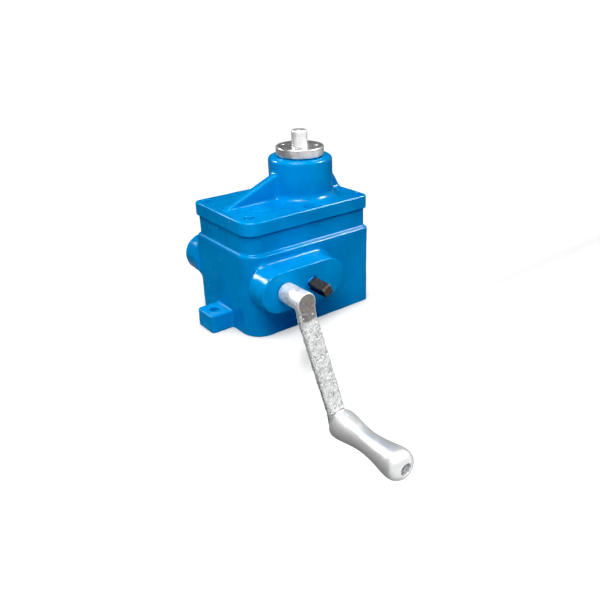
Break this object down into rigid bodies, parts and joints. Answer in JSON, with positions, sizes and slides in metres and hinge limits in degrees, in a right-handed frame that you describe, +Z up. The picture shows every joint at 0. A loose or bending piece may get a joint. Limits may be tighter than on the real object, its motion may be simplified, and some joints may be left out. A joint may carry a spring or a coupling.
{
  "type": "worm gear set",
  "caption": "Hand-cranked worm gear lifting box: painted cast housing, spur pre-stage, worm and wheel driving a non-turning lifting screw with a top disc and pin.",
  "frame": {"origin": "middle of the housing's flat base face", "axes": "+Z up along the lifting screw, +Y from the crank side to the back along the two input shafts, +X to the right across both shafts"},
  "size_m": [0.226, 0.336, 0.3139],
  "materials": {
    "blue_paint": "gloss enamel over sand casting",
    "cap_paint": "gloss enamel",
    "screw_paint": "gloss enamel over socket screws",
    "bright_steel": "fine turned",
    "screw_steel": "ground and greased",
    "gear_steel": "hobbed and oiled",
    "shaft_steel": "blackened, bright at the edges",
    "bronze": "machined bronze",
    "crank_cast": "blasted and zinc plated casting",
    "grip_metal": "turned and polished",
    "gasket": "pressed fibre gasket",
    "seal": "nitrile"
  },
  "bodies": {
    "housing": {"housing": "blue_paint", "cover_gasket": "gasket", "cover": "blue_paint", "cover_screw_front_left": "screw_paint", "cover_screw_front_middle": "screw_paint", "cover_screw_front_right": "screw_paint", "cover_screw_rear_right": "screw_paint", "cover_screw_rear_middle": "screw_paint", "cover_screw_rear_left": "screw_paint", "filler_cap": "cap_paint", "ram_bush": "bronze", "guide_key": "gear_steel", "upper_bush": "bronze", "upper_thrust_washer": "bronze", "thrust_race_lower": "gear_steel", "input_front_bush": "bronze", "input_rear_bush": "bronze", "input_oil_seal": "seal", "input_rear_cap": "cap_paint", "worm_front_bush": "bronze", "worm_rear_bush": "bronze", "worm_oil_seal": "seal", "worm_rear_cap": "cap_paint"},
    "crank": {"input_pinion_shaft": "shaft_steel", "input_spacer": "gear_steel", "crank": "crank_cast", "grip_spindle": "screw_steel", "grip_end_screw": "bright_steel"},
    "grip": {"grip": "grip_metal"},
    "worm": {"worm_shaft": "shaft_steel", "worm": "gear_steel", "reduction_gear": "gear_steel", "worm_front_spacer": "gear_steel", "worm_rear_spacer": "gear_steel"},
    "wheel": {"worm_wheel": "bronze", "thrust_race_upper": "gear_steel"},
    "cage": {"thrust_ball_cage": "gear_steel"},
    "ram": {"lifting_screw": "screw_steel", "ram_flange": "bright_steel"}
  },
  "joints": [
    {"name": "crank_turn", "type": "hinge", "parent": "housing", "child": "crank", "pos_m": [-0.0575, -0.07, 0.0615], "axis": [0, 1, 0], "range_deg": [0, 54090]},
    {"name": "grip_spin", "type": "hinge", "parent": "crank", "child": "grip", "pos_m": [-0.03562, -0.2, -0.08487], "axis": [0, 1, 0], "continuous": true},
    {"name": "worm_turn", "type": "hinge", "parent": "housing", "child": "worm", "pos_m": [-0.0215, 0, 0.0615], "axis": [0, 1, 0], "range_deg": [-27045, 0]},
    {"name": "wheel_turn", "type": "hinge", "parent": "housing", "child": "wheel", "pos_m": [0.0285, 0, 0.0615], "axis": [0, 0, 1], "range_deg": [-1690.31, 0]},
    {"name": "cage_turn", "type": "hinge", "parent": "housing", "child": "cage", "pos_m": [0.0285, 0, 0.0261], "axis": [0, 0, 1], "range_deg": [-845.16, 0]},
    {"name": "ram_lift", "type": "slide", "parent": "housing", "child": "ram", "axis": [0, 0, 1], "range_m": [0, 0.047]}
  ],
  "couplings": [
    {"joint": "worm_turn", "follows": "crank_turn", "ratio": -0.5},
    {"joint": "wheel_turn", "follows": "crank_turn", "ratio": -0.03125},
    {"joint": "cage_turn", "follows": "crank_turn", "ratio": -0.015625},
    {"joint": "ram_lift", "follows": "crank_turn", "m_per_rad": 0.000049736}
  ]
}
